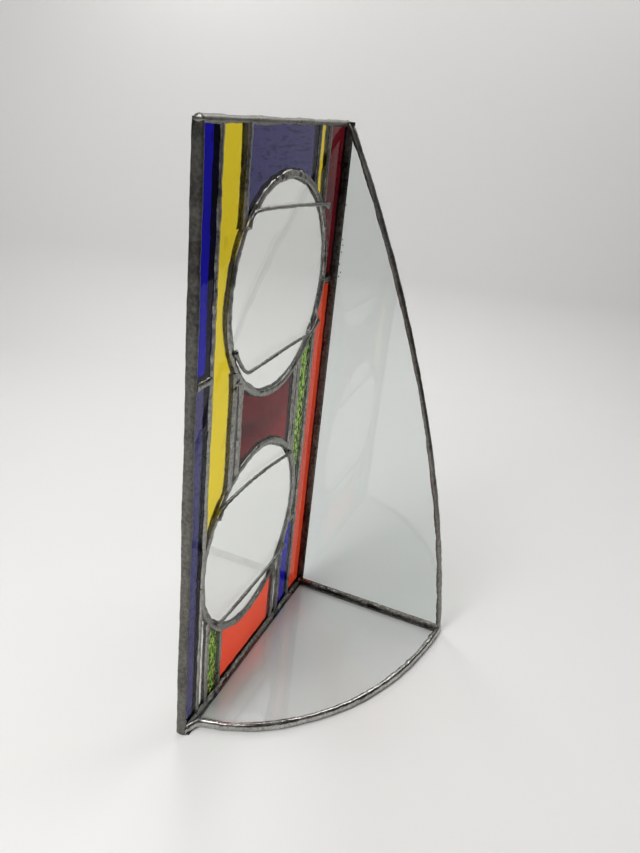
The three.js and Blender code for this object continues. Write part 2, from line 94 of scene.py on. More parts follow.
def mesh_object(name, points, faces, material):
    """A smooth-shaded object from points in millimetres, with its faces turned outwards."""
    mesh = bpy.data.meshes.new(name)
    mesh.from_pydata((np.asarray(points) * MM).tolist(), [], faces)
    work = bmesh.new()
    work.from_mesh(mesh)
    bmesh.ops.recalc_face_normals(work, faces=work.faces)
    work.to_mesh(mesh)
    work.free()
    mesh.shade_smooth()
    mesh.set_sharp_from_angle(angle=math.radians(52))
    mesh.materials.append(material)
    made = bpy.data.objects.new(name, mesh)
    scene.collection.objects.link(made)
    return made


PAPER_FRONT = -2200  # the sheet's near end, from the object's middle
PAPER_BEND = 500  # where the sheet starts to rise
PAPER_RADIUS = 110
PAPER_TOP = 1500
PAPER_LEFT = 2200
PAPER_RIGHT = -640
PAPER_TURN = math.radians(20)  # the wall stands square to the eye's line

# Uncoated paper, pressed matt: a tooth of fibres, drawn coarser than real so that it shows, and a
# slow drift of shade.
FIBRES = 0.9  # to a millimetre
DRIFTS = 1.3  # to a metre
paper, output = new_material("matt_white_paper")
place = add(paper, "ShaderNodeTexCoord").outputs["Object"]
fibre = add(paper, "ShaderNodeTexNoise", {"Vector": place, "Scale": FIBRES / MM, "Detail": 3.0})
shade = add(paper, "ShaderNodeTexNoise", {"Vector": place, "Scale": DRIFTS, "Detail": 1.0})
tone = add(
    paper,
    "ShaderNodeValToRGB",
    {"Fac": shade.outputs["Fac"]},
    [(0.3, colour("#e4e3e1")), (0.7, colour("#ebeae8"))],
)
grain = add(
    paper,
    "ShaderNodeBump",
    {"Height": fibre.outputs["Fac"], "Strength": 0.04, "Distance": 0.2 * MM},
)
surface = add(
    paper,
    "ShaderNodeBsdfPrincipled",
    {"Base Color": tone.outputs["Color"], "Roughness": 0.85, "Normal": grain.outputs["Normal"]},
)
paper.node_tree.links.new(surface.outputs[0], output.inputs["Surface"])

arc = [
    (PAPER_BEND + PAPER_RADIUS * math.sin(t), PAPER_RADIUS * (1 - math.cos(t)))
    for t in np.linspace(0, math.pi / 2, 25)
]
profile = [(PAPER_FRONT, 0), (0, 0), *arc, (PAPER_BEND + PAPER_RADIUS, PAPER_TOP)]
along = (math.cos(PAPER_TURN), math.sin(PAPER_TURN))
points = [
    (u * along[0] - side * along[1], u * along[1] + side * along[0], z)
    for side in (PAPER_RIGHT, PAPER_LEFT)
    for u, z in profile
]
count = len(profile)
faces = [(i, i + 1, count + i + 1, count + i) for i in range(count - 1)]
sweep = mesh_object("paper_sweep", points, faces, paper)

# ---- Studio light ----------------------------------------------------------------------------
# One small bright lamp stands beyond the object, as a window would. Four softboxes hang over the
# eye's side of it and one over the bend of the paper. Round them is a grey room, which glass and
# metal mirror as dark.
world = bpy.data.worlds.new("grey_room")
world.use_nodes = True
world.node_tree.nodes["Background"].inputs["Color"].default_value = colour("#8f9093")
world.node_tree.nodes["Background"].inputs["Strength"].default_value = 0.26
scene.world = world


def softbox(name, at, aim, size, watts, mirrored=True):
    """A rectangular lamp at a place, aimed at another, in metres. Without mirrored, glass and metal
    don't show its shape."""
    lamp = bpy.data.lights.new(name, "AREA")
    lamp.shape = "RECTANGLE"
    lamp.size, lamp.size_y = size
    lamp.energy = watts
    made = bpy.data.objects.new(name, lamp)
    made.location = at
    made.rotation_euler = (Vector(aim) - Vector(at)).to_track_quat("-Z", "Y").to_euler()
    made.visible_glossy = mirrored
    made.visible_transmission = mirrored
    scene.collection.objects.link(made)


softbox("back_window", (0.42, 0.38, 0.62), (0.0, 0.0, 0.0), (0.2, 0.2), 1.0, False)
softbox("left_softbox", (-0.6, 0.05, 1.0), (0.2, 0.05, 0.1), (0.6, 0.6), 2.5)
softbox("back_softbox", (-0.4, 0.5, 1.0), (0.1, 0.1, 0.0), (0.5, 0.5), 0.58)
softbox("low_softbox", (-0.55, 0.2, 0.55), (-0.1, 0.05, 0.0), (0.3, 0.3), 2.3, False)
softbox("near_softbox", (-0.3, 0.25, 0.9), (-0.15, 0.05, 0.0), (0.4, 0.4), 2.1)
softbox("bend_softbox", (0.5, -0.15, 0.9), (0.55, -0.2, 0.0), (0.5, 0.5), 2.7)

# ---- Camera ----------------------------------------------------------------------------------
# The eye is above and to the left of the panel's outer edge, close to it, with a slight roll.
EYE = (-0.3129, -0.0928, 0.3137)
LOOK = (0.8544, 0.3090, -0.4177)
ROLL = math.radians(6.47)
camera = bpy.data.objects.new("camera", bpy.data.cameras.new("camera"))
camera.data.lens = 29.88
camera.data.sensor_width = 36
camera.data.clip_start = 0.01
turned = Vector(LOOK).to_track_quat("-Z", "Y").to_matrix().to_4x4() @ Matrix.Rotation(ROLL, 4, "Z")
camera.matrix_world = Matrix.Translation(EYE) @ turned
scene.collection.objects.link(camera)
scene.camera = camera

# ---- Coloured glass strips -------------------------------------------------------------------
# Machine-rolled cathedral glass, 3 mm thick and coloured all through, scored and broken to shape.
# The rollers leave a faint swell in the surface; some sheets carry seeds, streaks or smoke.
FACE_PASSES = 0.96  # one face of glass mirrors 4 % of the light


def glass_finish(name, tint, swell, bump=0.05, pattern=None, ior=1.5):
    """Clear or coloured glass. tint is what 3 mm of it lets through, and pattern(material, place) may
    give a second tint that drives the colour from place to place. Lamps shine through it."""
    material, output = new_material(name)
    place = add(material, "ShaderNodeTexCoord").outputs["Object"]
    rolled = add(
        material, "ShaderNodeTexNoise", {"Vector": place, "Scale": 1 / (swell * MM), "Detail": 2.0}
    )
    wave = add(
        material,
        "ShaderNodeBump",
        {"Height": rolled.outputs["Fac"], "Strength": bump, "Distance": swell * MM * 0.2},
    )
    body = add(
        material,
        "ShaderNodeBsdfPrincipled",
        {
            "Base Color": tint,
            "Roughness": 0.0,
            "IOR": ior,
            "Transmission Weight": 1.0,
            "Normal": wave.outputs["Normal"],
        },
    )
    if pattern:
        material.node_tree.links.new(pattern(material, place), body.inputs["Base Color"])
    half = [FACE_PASSES * math.sqrt(c) for c in tint[:3]]  # light crosses two faces
    lit = add(material, "ShaderNodeBsdfTransparent", {"Color": (*half, 1.0)})
    rays = add(material, "ShaderNodeLightPath")
    straight = add(
        material,
        "ShaderNodeMath",
        {0: rays.outputs["Is Shadow Ray"], 1: rays.outputs["Is Diffuse Ray"]},
        operation="MAXIMUM",
    )
    mixed = add(
        material,
        "ShaderNodeMixShader",
        {0: straight.outputs[0], 1: body.outputs[0], 2: lit.outputs[0]},
    )
    material.node_tree.links.new(mixed.outputs[0], output.inputs["Surface"])
    return material


def give_glass(material, slot, *nodes):
    """Puts a finish on CAD glass that keeps its own shape."""
    for name in nodes:
        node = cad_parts[name]
        node.data.materials.clear()
        node.data.materials.append(material)


def seeds(dark, clear, spacing, stretch, amount=0.3):
    """Seeds: small dark bubbles that the rollers drew out. spacing is in millimetres, stretch squeezes
    them along each axis, and amount is how much of the sheet they take."""

    def pattern(material, place):
        drawn = add(material, "ShaderNodeMapping", {"Vector": place, "Scale": stretch})
        cells = add(
            material,
            "ShaderNodeTexNoise",
            {"Vector": drawn.outputs[0], "Scale": 1 / (spacing * MM), "Detail": 2.0, "Roughness": 0.4},
        )
        tone = add(
            material,
            "ShaderNodeValToRGB",
            {"Fac": cells.outputs["Fac"]},
            [(amount - 0.03, dark), (amount + 0.03, clear)],
        )
        return tone.outputs["Color"]

    return pattern


def streaks(dark, light, spacing):
    """Smoky streaks, stirred into the sheet before it was rolled. spacing is in millimetres."""

    def pattern(material, place):
        tilt = add(
            material,
            "ShaderNodeMapping",
            {"Vector": place, "Rotation": (0.0, math.radians(8), 0.0), "Scale": (0.3, 1.0, 1.0)},
        )
        smoke = add(
            material,
            "ShaderNodeTexNoise",
            {
                "Vector": tilt.outputs[0],
                "Scale": 1 / (spacing * MM),
                "Detail": 3.0,
                "Roughness": 0.45,
                "Distortion": 0.6,
            },
        )
        tone = add(
            material,
            "ShaderNodeValToRGB",
            {"Fac": smoke.outputs["Fac"]},
            [(0.35, dark), (0.66, light)],
        )
        return tone.outputs["Color"]

    return pattern


ROLLED_IOR = 1.25  # below glass's real 1.5, so that it mirrors the room more weakly
SWELL = 14  # the rollers' swell, crest to crest
# Deep, even colours; the blue and the yellow keep a trace of cloud, and the violet is full of seeds.
deep_blue = glass_finish(
    "deep_blue_cathedral_glass",
    colour("#15108f"),
    SWELL,
    ior=ROLLED_IOR,
    pattern=seeds(colour("#0d0a5e"), colour("#19149e"), 5, (1, 1, 0.5)),
)
violet = glass_finish(
    "muted_violet_seedy_glass",
    colour("#454470"),
    SWELL,
    ior=ROLLED_IOR,
    pattern=seeds(colour("#262444"), colour("#484672"), 2.6, (0.4, 1, 1.7), 0.37),
)
yellow = glass_finish(
    "yellow_cathedral_glass",
    colour("#efd226"),
    SWELL,
    ior=ROLLED_IOR,
    pattern=seeds(colour("#d9be2a"), colour("#ecd432"), 6, (1, 1, 0.5)),
)
dark_red = glass_finish(
    "dark_red_cathedral_glass",
    colour("#5c0a16"),
    SWELL,
    ior=ROLLED_IOR,
    pattern=streaks(colour("#500813"), colour("#680d1a"), 30),
)
orange = glass_finish(
    "orange_red_cathedral_glass",
    colour("#d8401c"),
    SWELL,
    ior=ROLLED_IOR,
    pattern=streaks(colour("#f04420"), colour("#fb5028"), 40),
)
# The long orange strip on the right is the same glass; its slightly deeper tint is painted shade, for
# the dark room it mirrors near the wing.
orange_painted_shade = glass_finish(
    "orange_red_cathedral_glass_painted_shade",
    colour("#c83a1a"),
    SWELL,
    ior=ROLLED_IOR,
    pattern=streaks(colour("#cc3a1c"), colour("#d84322"), 40),
)
maroon = glass_finish(
    "streaky_maroon_glass",
    colour("#6b2025"),
    SWELL,
    ior=ROLLED_IOR,
    pattern=streaks(colour("#47121a"), colour("#822026"), 22),
)
give_glass(deep_blue, "blue_glass", "glass_deep_blue", "glass_blue_lower")
give_glass(violet, "violet_glass", "glass_violet_left", "glass_violet_top")
give_glass(yellow, "yellow_glass", "glass_yellow_long", "glass_yellow_top")
give_glass(dark_red, "dark_red_glass", "glass_dark_red")
give_glass(orange, "orange_glass", "glass_orange_lower")
give_glass(orange_painted_shade, "orange_glass", "glass_orange_right")
give_glass(maroon, "maroon_glass", "glass_maroon")

# ---- Clear glass: round windows, wing, base and slivers --------------------------------------
# Float glass, 3 mm thick, flat on both faces and almost colourless. The base's tint is a little greyer
# than the windows'.
FLOAT_SWELL = 60  # a float sheet is flat but for a long, faint wave
FLOAT_BUMP = 0.02
float_glass = glass_finish("clear_float_glass", colour("#f4f6f4"), FLOAT_SWELL, FLOAT_BUMP)
float_base = glass_finish("clear_float_glass_base", colour("#f0f1f1"), FLOAT_SWELL, FLOAT_BUMP)
# The wing's greyer tint is painted shade, for the shadow on the paper seen through it.
float_wing_painted_shade = glass_finish("clear_float_glass_wing_painted_shade", colour("#e3e8e7"), FLOAT_SWELL, FLOAT_BUMP)
give_glass(
    float_glass,
    "clear_glass",
    "disc_upper",
    "disc_lower",
    "glass_sliver_centre",
    "glass_sliver_right",
    "glass_sliver_lower",
    "glass_sliver_left",
)
give_glass(float_base, "clear_glass", "glass_base")
give_glass(float_wing_painted_shade, "clear_glass", "glass_wing")

# ---- Green ripple glass ----------------------------------------------------------------------
# Textured sheet: the hot glass was combed by a ribbed roller, so both faces carry steep, uneven
# ripples that break what is behind them into light and dark flecks.
RIPPLE_PITCH = 3.2
RIPPLE_HEIGHT = 0.42
RIPPLE_STEP = 0.5  # mesh spacing
WELD = 1e-6  # metres; joins the CAD pane's doubled corners


def waves(points, length, seed):
    """Smooth bumps in space, about -1 to 1: plane waves of about one length in random directions."""
    draw = np.random.default_rng(seed)
    total = np.zeros(np.shape(points)[:-1])
    for _ in range(12):
        direction = draw.normal(size=3)
        direction *= 2 * math.pi / (np.linalg.norm(direction) * length * draw.uniform(0.7, 1.4))
        total += np.sin(np.asarray(points) @ direction + draw.uniform(0, 2 * math.pi))
    return total / math.sqrt(12)


def box_mm(node):
    """The lowest and highest corner of a CAD node in millimetres."""
    low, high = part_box(node)
    return np.array(low) / MM, np.array(high) / MM


def ripple_pane(name, node, material, seed):
    """A slab with rippled faces, trimmed to the outline of the CAD pane it stands for."""
    low, high = box_mm(node)
    xs = np.arange(low[0] - 1, high[0] + 1, RIPPLE_STEP)
    zs = np.arange(low[2] - 1, high[2] + 1, RIPPLE_STEP)
    grid = np.stack(np.meshgrid(xs, zs, indexing="ij"), axis=-1)
    flat = np.stack([grid[..., 0], np.zeros(grid.shape[:2]), grid[..., 1]], axis=-1)
    layers = []
    for face, level in enumerate((low[1], high[1])):
        lean = flat * (1.0, 1.0, 0.55)
        height = RIPPLE_HEIGHT * 0.5 * waves(lean, RIPPLE_PITCH, seed + face)
        height += RIPPLE_HEIGHT * 0.35 * waves(lean, RIPPLE_PITCH / 2.1, seed + 5 + face)
        layer = flat.copy()
        layer[..., 1] = level + height * (-1 if face == 0 else 1)
        layers.append(layer.reshape(-1, 3))
    nx, nz = len(xs), len(zs)
    size = nx * nz
    index = np.arange(size).reshape(nx, nz)
    quads = [
        (index[i, k], index[i + 1, k], index[i + 1, k + 1], index[i, k + 1])
        for i in range(nx - 1)
        for k in range(nz - 1)
    ]
    rim = [*index[:, 0], *index[-1, 1:], *index[-2::-1, -1], *index[0, -2:0:-1]]
    sides = [(a, b, b + size, a + size) for a, b in zip(rim, [*rim[1:], rim[0]])]
    back = [tuple(v + size for v in reversed(quad)) for quad in quads]
    faces = [tuple(int(v) for v in face) for face in [*quads, *back, *sides]]
    pane = mesh_object(name, np.concatenate(layers), faces, material)
    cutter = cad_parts[node].copy()
    cutter.data = cutter.data.copy()
    cutter.parent = None
    middle = (low[1] + high[1]) / 2 * MM
    for vertex in cutter.data.vertices:
        vertex.co.y = middle + (vertex.co.y - middle) * 3
    work = bmesh.new()
    work.from_mesh(cutter.data)
    bmesh.ops.remove_doubles(work, verts=work.verts, dist=WELD)
    work.to_mesh(cutter.data)
    work.free()
    scene.collection.objects.link(cutter)
    trim = pane.modifiers.new("trim", "BOOLEAN")
    trim.operation = "INTERSECT"
    trim.solver = "EXACT"
    trim.object = cutter
    bpy.context.view_layer.update()
    settled = bpy.context.evaluated_depsgraph_get()
    trimmed = bpy.data.meshes.new_from_object(pane.evaluated_get(settled))
    pane.modifiers.clear()
    pane.data = trimmed
    bpy.data.objects.remove(cutter)
    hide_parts(node)
    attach(pane, "root")


# Yellow-green with darker flecks scattered at random; the steep faces do most of the flecking.
green = glass_finish(
    "green_ripple_glass",
    colour("#86b32c"),
    swell=3,
    bump=0.2,
    pattern=seeds(colour("#56821c"), colour("#93bd35"), 2.4, (0.6, 1, 1.4), 0.4),
)
ripple_pane("pane_green_right", "glass_green_right", green, 11)
ripple_pane("pane_green_lower", "glass_green_lower", green, 23)

# ---- Solder: seams between the strips --------------------------------------------------------
# Each glass edge is wrapped in copper foil and the gaps are flooded with 60/40 tin-lead solder
# from an iron, so every seam is a wavy domed bead on each face with a dark foiled wall between.
GLASS = 3.0
WALL = 0.72  # half the foil and solder between two edges
SINK = 0.03  # the bead grips the glass, so it starts just under its face
STEP = 0.8
CLOUD = 14  # patches of duller skin
MOTTLE = 1.7  # grain of the skin, where it froze
PINHOLES = 3.4  # between pinholes, left by boiling flux
front_face = box_mm("glass_yellow_long")[0][1]


def solder_finish(name, dark, light, rough, pits):
    """Tin-lead solder with a rubbed grey skin: cloudy patches, fine mottling and pinholes. rough is
    its lowest and highest roughness, and pits the size of the pinholes beside their spacing."""
    material, output = new_material(name)
    place = add(material, "ShaderNodeTexCoord").outputs["Object"]
    clouds = add(
        material,
        "ShaderNodeTexNoise",
        {"Vector": place, "Scale": 1 / (CLOUD * MM), "Detail": 2.0},
    )
    mottle = add(
        material,
        "ShaderNodeTexNoise",
        {"Vector": place, "Scale": 1 / (MOTTLE * MM), "Detail": 4.0, "Roughness": 0.6},
    )
    blend = add(
        material,
        "ShaderNodeMix",
        {"Factor": 0.6, 2: clouds.outputs["Fac"], 3: mottle.outputs["Fac"]},
        data_type="FLOAT",
    )
    tone = add(
        material,
        "ShaderNodeValToRGB",
        {"Fac": blend.outputs[0]},
        [(0.38, dark), (0.6, light)],
    )
    holes = add(
        material,
        "ShaderNodeTexVoronoi",
        {"Vector": place, "Scale": 1 / (PINHOLES * MM), "Randomness": 1.0},
    )
    # The pinholes are dark spots only: painted shade, where a real hollow would be dark, on a surface
    # with no hollow.
    pinhole_painted_shade = add(
        material,
        "ShaderNodeValToRGB",
        {"Fac": holes.outputs["Distance"]},
        [(pits * 0.5, colour("#3d3a37")), (pits, colour("#ffffff"))],
    )
    tone_with_pinhole_shade = add(
        material,
        "ShaderNodeMix",
        {"Factor": 1.0, 6: tone.outputs["Color"], 7: pinhole_painted_shade.outputs["Color"]},
        data_type="RGBA",
        blend_type="MULTIPLY",
    )
    sheen = add(
        material,
        "ShaderNodeMapRange",
        {
            "Value": clouds.outputs["Fac"],
            "From Min": 0.35,
            "From Max": 0.65,
            "To Min": rough[0],
            "To Max": rough[1],
        },
    )
    lumps = add(
        material,
        "ShaderNodeBump",
        {"Height": mottle.outputs["Fac"], "Strength": 0.3, "Distance": 0.3 * MM},
    )
    body = add(
        material,
        "ShaderNodeBsdfPrincipled",
        {
            "Base Color": tone_with_pinhole_shade.outputs[2],
            "Metallic": 1.0,
            "Roughness": sheen.outputs[0],
            "Normal": lumps.outputs["Normal"],
        },
    )
    material.node_tree.links.new(body.outputs[0], output.inputs["Surface"])
    return material


# Rubbed down after soldering: light grey crests, darker where flux and dust stayed.
seam_solder = solder_finish(
    "tin_lead_solder_grey", colour("#7d7b76"), colour("#bdbbb5"), (0.2, 0.46), 0.09
)


def unit(vectors):
    """The same directions at length 1."""
    return vectors / np.linalg.norm(vectors, axis=-1, keepdims=True)


def cast(
    name,
    nodes,
    route,
    out,
    section,
    give,
    bumps,
    seed,
    closed=False,
    material=seam_solder,
):
    """A run of solder or wire along a route. section holds (across, out) points of its closed outline,
    one row for all stations or one row each. give says how far each point yields to the bumps: 1
    outwards, 0 for a point that grips glass, and below 0 for an edge that wanders along the glass
    instead. bumps are (height, length) pairs."""
    route = np.asarray(route, float)
    if closed:
        ahead = np.roll(route, -1, 0) - np.roll(route, 1, 0)
    else:
        ahead = np.gradient(route, axis=0)
    ahead = unit(ahead)
    out = unit(np.asarray(out, float) * np.ones_like(route))
    across = unit(np.cross(ahead, out))
    section = np.asarray(section, float)
    if section.ndim == 2:
        section = np.repeat(section[None], len(route), 0)
    give = np.asarray(give, float)
    rows = (
        route[:, None]
        + section[..., :1] * across[:, None]
        + section[..., 1:] * out[:, None]
    )
    swell = sum(
        height * waves(rows, length, seed + 31 * number)
        for number, (height, length) in enumerate(bumps)
    )
    turn = np.roll(section, -1, 1) - np.roll(section, 1, 1)
    facing = unit(np.stack([turn[..., 1], -turn[..., 0]], -1) + 1e-9)
    onward = np.roll(section, -1, 1)
    area = np.sum(section[..., 0] * onward[..., 1] - section[..., 1] * onward[..., 0], axis=1)
    facing *= np.sign(area)[:, None, None]
    normal = facing[..., :1] * across[:, None] + facing[..., 1:] * out[:, None]
    rows += normal * (swell * np.clip(give, 0, None))[..., None]
    rows += across[:, None] * (swell * np.clip(-give, 0, None) * np.sign(section[..., 0]))[..., None]
    n, m = rows.shape[:2]
    faces = [
        (i * m + j, i * m + (j + 1) % m, (i + 1) % n * m + (j + 1) % m, (i + 1) % n * m + j)
        for i in range(n if closed else n - 1)
        for j in range(m)
    ]
    if not closed:
        faces += [tuple(range(m)), tuple(range((n - 1) * m, n * m))]
    made = mesh_object(name, rows.reshape(-1, 3), faces, material)
    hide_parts(*nodes)
    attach(made, "root")
    return made


DOME = np.linspace(-math.pi / 2, math.pi / 2, 10)
BOXY = 0.8  # below 1, a bead's sides stand steeper than a circle's
WANDER = -1.6  # give of a bead's edge along the glass


def seam_section(near, far, tall, back_near, back_far, back_tall):
    """Outline of a seam between two panes: a dome in front, a foiled wall, and a dome behind. near
    and far are the half widths on its two sides."""
    outline, give = [], []
    for turn in DOME:
        reach = near if turn < 0 else far
        edge = abs(turn) == DOME[-1]
        height = -SINK if edge else tall * math.cos(turn) ** BOXY
        outline.append((reach * math.sin(turn), height))
        give.append(WANDER if edge else 1)
    outline += [(WALL, -SINK), (WALL, SINK - GLASS)]
    give += [0, 0]
    for turn in DOME[::-1]:
        reach = back_near if turn < 0 else back_far
        edge = abs(turn) == DOME[-1]
        height = SINK - GLASS if edge else -GLASS - back_tall * math.cos(turn) ** BOXY
        outline.append((reach * math.sin(turn), height))
        give.append(WANDER if edge else 1)
    outline += [(-WALL, SINK - GLASS), (-WALL, -SINK)]
    give += [0, 0]
    return outline, give


def crest(node):
    """The two ends of the ridge along the front of a straight CAD seam, lower or left end first."""
    points = np.array([v.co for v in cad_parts[node].data.vertices]) / MM
    ridge = points[points[:, 1] < points[:, 1].min() + 0.05]
    axis = int(np.argmax(np.ptp(ridge, axis=0)))
    ridge = ridge[np.argsort(ridge[:, axis])]
    return ridge[0], ridge[-1]


def stations(start, end):
    """Evenly spaced points from start to end."""
    count = max(3, int(np.linalg.norm(np.subtract(end, start)) / STEP) + 1)
    return np.linspace(start, end, count)


PANEL_OUT = (0.0, -1.0, 0.0)
SEAM_BUMPS = [(0.1, 11.0), (0.08, 4.2), (0.03, 1.6)]  # height and length of each
FLARE = 3.0  # how far from its end a seam starts to widen
FRONT_TALL = 0.75
BACK_NEAR, BACK_FAR, BACK_TALL = 3.1, 2.5, 1.0  # behind, the bead is wider and fuller


def seam(name, node, more, near, far, seed):
    """A seam along its CAD bar, longer by more = (at its start, at its end) so that it runs into
    its neighbours, and wider where it meets them."""
    start, end = crest(node)
    way = unit(end - start)
    route = stations(start - way * more[0], end + way * more[1])
    route[:, 1] = front_face
    outline, give = seam_section(near, far, FRONT_TALL, BACK_NEAR, BACK_FAR, BACK_TALL)
    rows = np.repeat(np.array(outline)[None], len(route), 0)
    gone = np.linalg.norm(route - route[0], axis=1)
    ends = np.exp(-gone / FLARE) + np.exp(-gone[::-1] / FLARE)
    widen = 0.9 + 0.4 * ends
    free = np.array(give) != 0
    rows[:, free, 0] *= widen[:, None]
    cast(name, [node], route, PANEL_OUT, rows, give, SEAM_BUMPS, seed)


DOWN = 7.0  # from a bar's foot to the bottom edge of the glass
UP = 2.4  # from a bar's head to the top edge of the glass
INTO = 2.6  # from the outside of a ring to its middle
TANGENT = 13.0  # along the ring that a seam only touches
seam("seam_left_upper", "solder_left_upper", (TANGENT, UP), 1.5, 1.7, 101)
seam("seam_left_lower", "solder_left_lower", (DOWN, TANGENT), 1.6, 1.2, 102)
seam("seam_yellow_upper", "solder_yellow_upper", (1.0, UP), 1.6, 2.1, 103)
seam("seam_yellow_lower", "solder_yellow_lower", (INTO, INTO), 2.0, 2.4, 104)
seam("seam_maroon_left", "solder_maroon_left", (INTO, INTO), 2.4, 1.9, 105)
seam("seam_maroon_right", "solder_maroon_right", (INTO, INTO), 2.0, 2.0, 106)
seam("seam_yellow_top", "solder_yellow_top", (INTO, UP), 1.7, 1.9, 107)
seam("seam_red_left", "solder_red_left", (INTO, UP), 1.7, 1.9, 108)
seam("seam_green_left", "solder_green_left", (INTO, INTO), 1.8, 1.5, 109)
seam("seam_orange_left", "solder_orange_left", (DOWN, INTO), 1.6, 1.5, 110)
seam("seam_blue_lower", "solder_blue_lower", (DOWN, INTO), 1.8, 1.7, 111)
seam("seam_orange_lower", "solder_orange_lower", (DOWN, INTO), 1.8, 1.7, 112)
seam("seam_green_lower", "solder_green_lower", (DOWN, INTO), 1.0, 1.8, 113)
seam("seam_sliver_lower", "solder_sliver_lower", (DOWN, INTO), 1.8, 1.8, 114)
seam("seam_blue_join", "solder_blue_join", (1.0, 2.2), 1.7, 1.7, 115)
seam("seam_red_join", "solder_red_join", (INTO, 1.0), 1.3, 1.3, 116)
seam("seam_green_join", "solder_green_join", (INTO, 2.2), 1.4, 1.4, 117)

# ---- Solder: rings round the windows ---------------------------------------------------------
# The foiled discs are held by a ring of solder. It was run in several passes, so its inner and
# outer edges wander and its height changes where a seam joins it.
RING_BUMPS = [(0.16, 15.0), (0.11, 5.5), (0.04, 1.8)]


def ring(name, node, seed):
    """A closed run on the circle where its CAD ring stands highest."""
    low, high = box_mm(node)
    centre = (low + high) / 2
    points = np.array([v.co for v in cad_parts[node].data.vertices]) / MM
    ridge = points[points[:, 1] < points[:, 1].min() + 0.05]
    radius = np.mean(np.hypot(ridge[:, 0] - centre[0], ridge[:, 2] - centre[2]))
    turns = np.linspace(0, 2 * math.pi, int(2 * math.pi * radius / STEP), endpoint=False)
    route = np.stack(
        [
            centre[0] + radius * np.cos(turns),
            np.full_like(turns, front_face),
            centre[2] + radius * np.sin(turns),
        ],
        -1,
    )
    outline, give = seam_section(1.85, 1.8, 0.85, 2.8, 2.6, 0.9)
    return cast(name, [node], route, PANEL_OUT, outline, give, RING_BUMPS, seed, closed=True)


def drops(onto, seed, *places):
    """Adds drops of solder to a run. Each is (middle, radii, lean): the radii go along the width, the
    thickness and the height, and it leans by so many degrees in the plane of the panel."""
    work = bmesh.new()
    work.from_mesh(onto.data)
    for number, (middle, radii, lean) in enumerate(places):
        grown = bmesh.ops.create_icosphere(work, subdivisions=3, radius=1.0)["verts"]
        swollen = np.array([v.co for v in grown])
        swollen *= 1 + 0.07 * waves(swollen, 1.4, seed + number)[:, None]
        turned = np.array(Matrix.Rotation(math.radians(lean), 3, "Y")) @ (swollen * radii).T
        for vertex, place in zip(grown, turned.T + middle):
            vertex.co = place * MM
        for face in {face for vertex in grown for face in vertex.link_faces}:
            face.smooth = True
    work.to_mesh(onto.data)
    work.free()


upper_ring = ring("ring_upper", "solder_ring_upper", 201)
skin = front_face - 0.45  # half way up the bead
drops(
    upper_ring,
    621,
    ((-38.2, skin, 190.3), (2.3, 0.9, 1.4), -18),
    ((-39.8, skin, 187.0), (1.5, 0.8, 2.0), 10),
    ((53.6, skin, 203.5), (1.1, 0.9, 4.2), -24),
    ((-1.5, skin, 279.6), (2.2, 0.8, 1.5), 0),
)
ring("ring_lower", "solder_ring_lower", 202)

# ---- Solder: edge beads ----------------------------------------------------------------------
# The outer edges are foiled and tinned all round: a rounded bead that wraps the edge of the glass
# and laps 1 to 2 mm onto both of its faces. The top one was flooded more heavily and unevenly.


def clasp(lap, beyond, proud, boxy):
    """Outline round the edge of a pane: lap onto its faces, beyond its edge, and proud of a face.
    With boxy below 1 its outer side is squarer."""
    middle = GLASS / 2
    tall = middle + proud
    first = math.asin((middle - SINK) / tall)
    half = (lap + beyond) / (1 + math.cos(first))
    centre = beyond - half
    outline, give = [], []
    for turn in np.linspace(first, 2 * math.pi - first, 22):
        sideways, forwards = -math.cos(turn), math.sin(turn)
        if sideways > 0:
            sideways **= boxy
        outline.append((centre + half * sideways, -middle + tall * forwards))
        give.append(1)
    outline[0] = (outline[0][0], -SINK)
    outline[-1] = (outline[-1][0], SINK - GLASS)
    give[0] = give[-1] = WANDER
    outline += [(-SINK, SINK - GLASS), (-SINK, -SINK)]
    give += [0, 0]
    return outline, give


def smoothed(points, reach):
    """A path of even steps through points, with its corners rounded over about reach."""
    points = np.asarray(points, float)
    gone = np.concatenate([[0], np.cumsum(np.linalg.norm(np.diff(points, axis=0), axis=1))])
    steps = np.linspace(0, gone[-1], int(gone[-1] / STEP) + 1)
    path = np.stack([np.interp(steps, gone, points[:, k]) for k in range(3)], -1)
    width = max(1, int(reach / STEP))
    padded = np.concatenate([[path[0]] * width, path, [path[-1]] * width])
    kernel = np.hanning(2 * width + 3)[1:-1]
    kernel /= kernel.sum()
    soft = np.stack([np.convolve(padded[:, k], kernel, "valid") for k in range(3)], -1)
    soft[0], soft[-1] = path[0], path[-1]
    return soft


# The same solder, a little darker and more even than on the seams: its darker colour is painted shade.
edge_solder_painted_shade = solder_finish(
    "tin_lead_solder_edge_painted_shade", colour("#6c6a65"), colour("#989690"), (0.3, 0.45), 0.08
)
panel_low = box_mm("glass_violet_left")[0]
panel_high = box_mm("glass_dark_red")[1]
left_edge, bottom_edge = panel_low[0], panel_low[2]
right_edge, top_edge = panel_high[0], panel_high[2]

# A still darker and rougher copy of the same solder for the left edge: its darker colour is painted
# shade.
left_solder_painted_shade = solder_finish(
    "tin_lead_solder_left_painted_shade", colour("#55534e"), colour("#7d7b76"), (0.34, 0.5), 0.08
)
